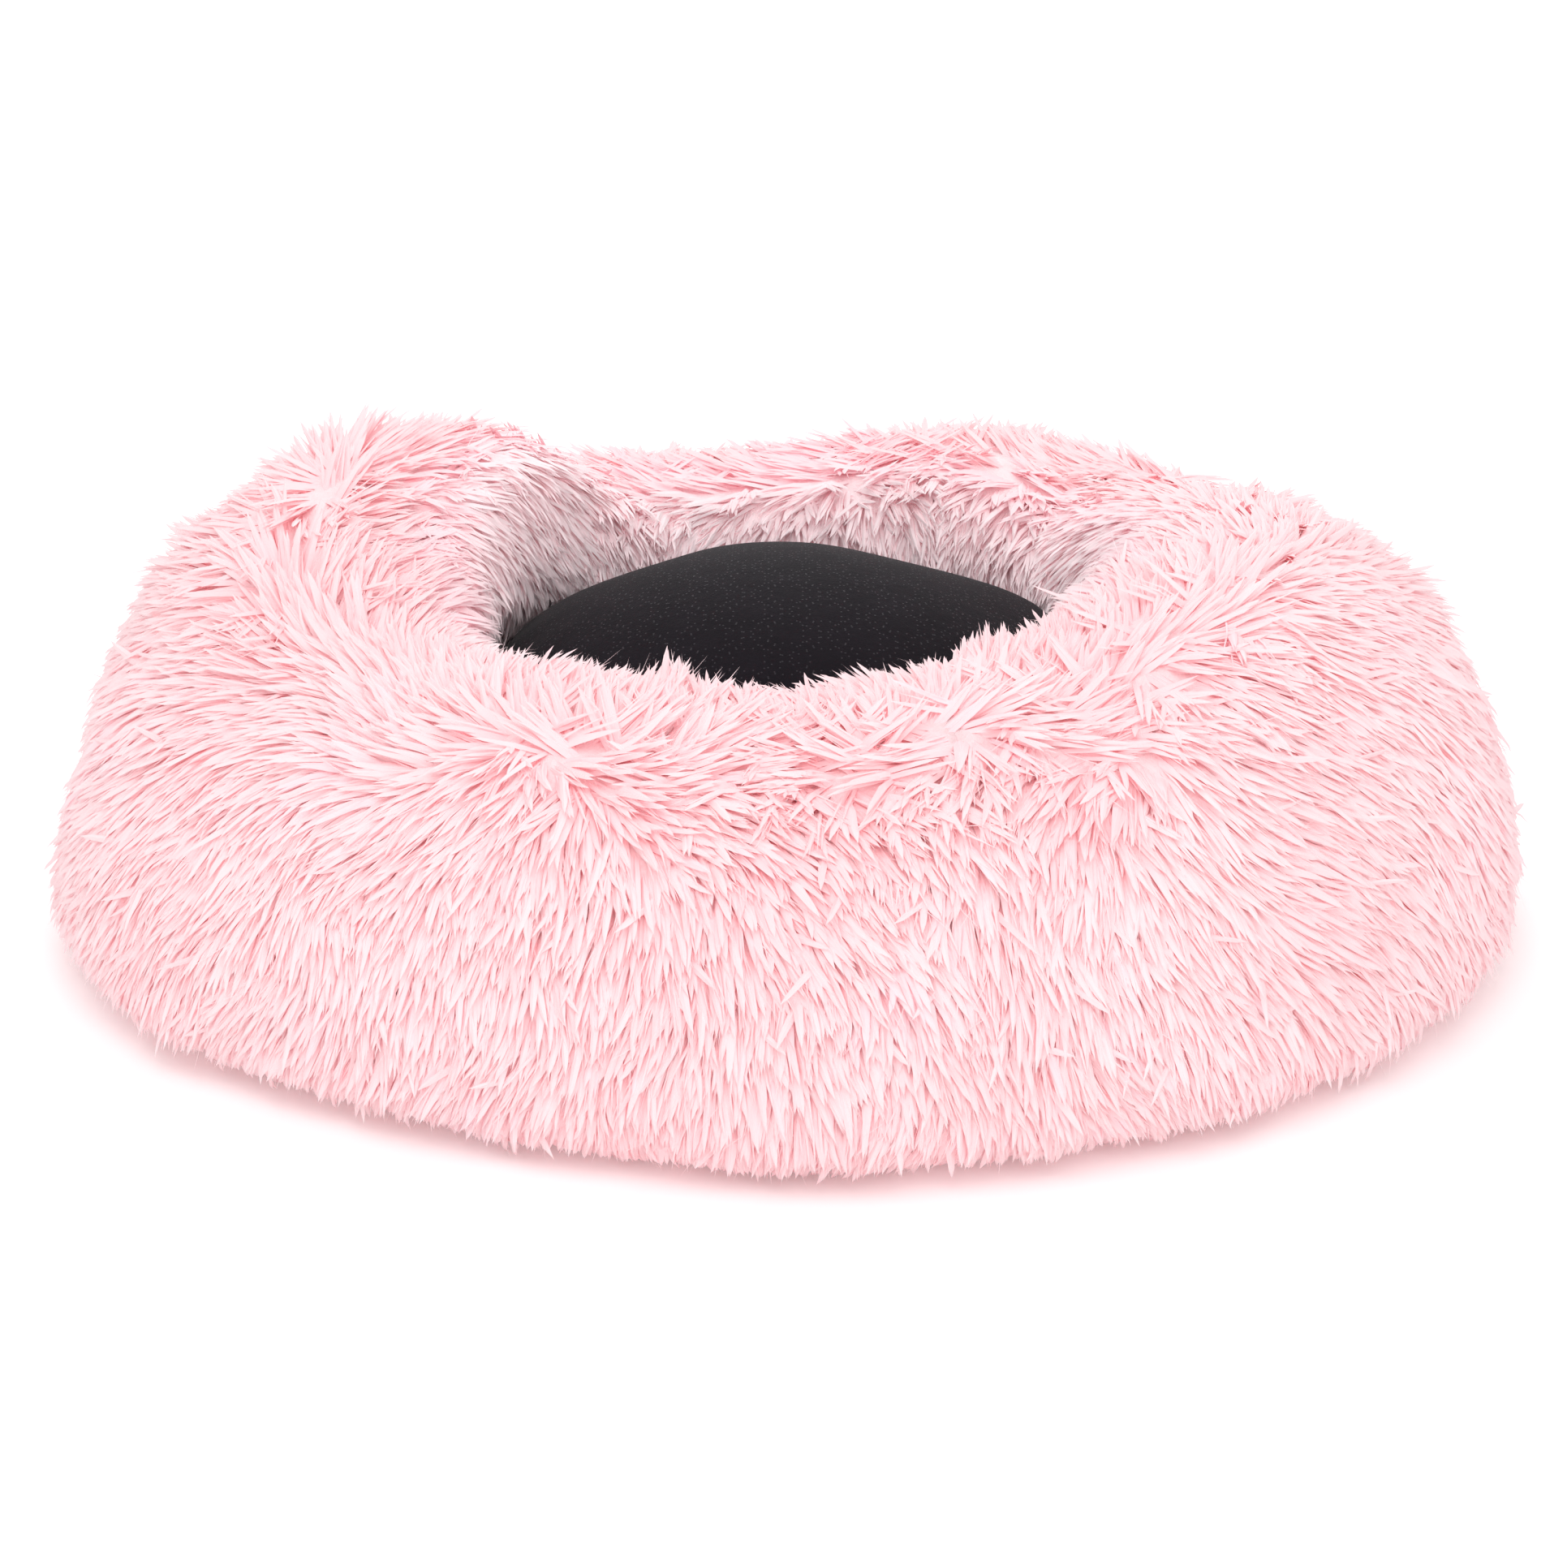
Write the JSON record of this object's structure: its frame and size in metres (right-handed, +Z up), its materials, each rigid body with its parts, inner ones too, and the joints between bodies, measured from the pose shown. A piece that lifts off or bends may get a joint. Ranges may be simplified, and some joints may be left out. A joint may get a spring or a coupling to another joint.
{
  "type": "plush ring pet cushion",
  "caption": "Round pet bed: a long-pile plush ring bolster round a well with a crowned, lift-out centre cushion in dotted anti-slip cloth.",
  "frame": {"origin": "middle of the bed's outline on the floor, under the base panel", "axes": "+Z up, -Y towards the low front of the ring, +X to the right as seen from the front"},
  "size_m": [0.5986, 0.567, 0.1836],
  "materials": {
    "plush": "matte",
    "anti_slip_cloth": "matte",
    "lining_cloth": "matte",
    "binding_tape": "matte",
    "fibre_filling": "matte"
  },
  "bodies": {
    "bed": {"outer_fur_panel_left": "plush", "outer_fur_panel_right": "plush", "inner_fur_panel_front": "plush", "inner_fur_panel_back": "plush", "ring_fill": "fibre_filling", "base_panel": "anti_slip_cloth", "base_binding": "binding_tape", "base_wadding": "fibre_filling", "well_floor_lining": "lining_cloth"},
    "cushion": {"cushion_top_cloth": "anti_slip_cloth", "cushion_bottom_cloth": "lining_cloth", "cushion_fill": "fibre_filling", "cushion_seam_welt": "binding_tape"}
  },
  "joints": [
    {"name": "cushion_lift", "type": "slide", "parent": "bed", "child": "cushion", "axis": [0, 0, 1], "range_m": [0, 0.21]}
  ]
}
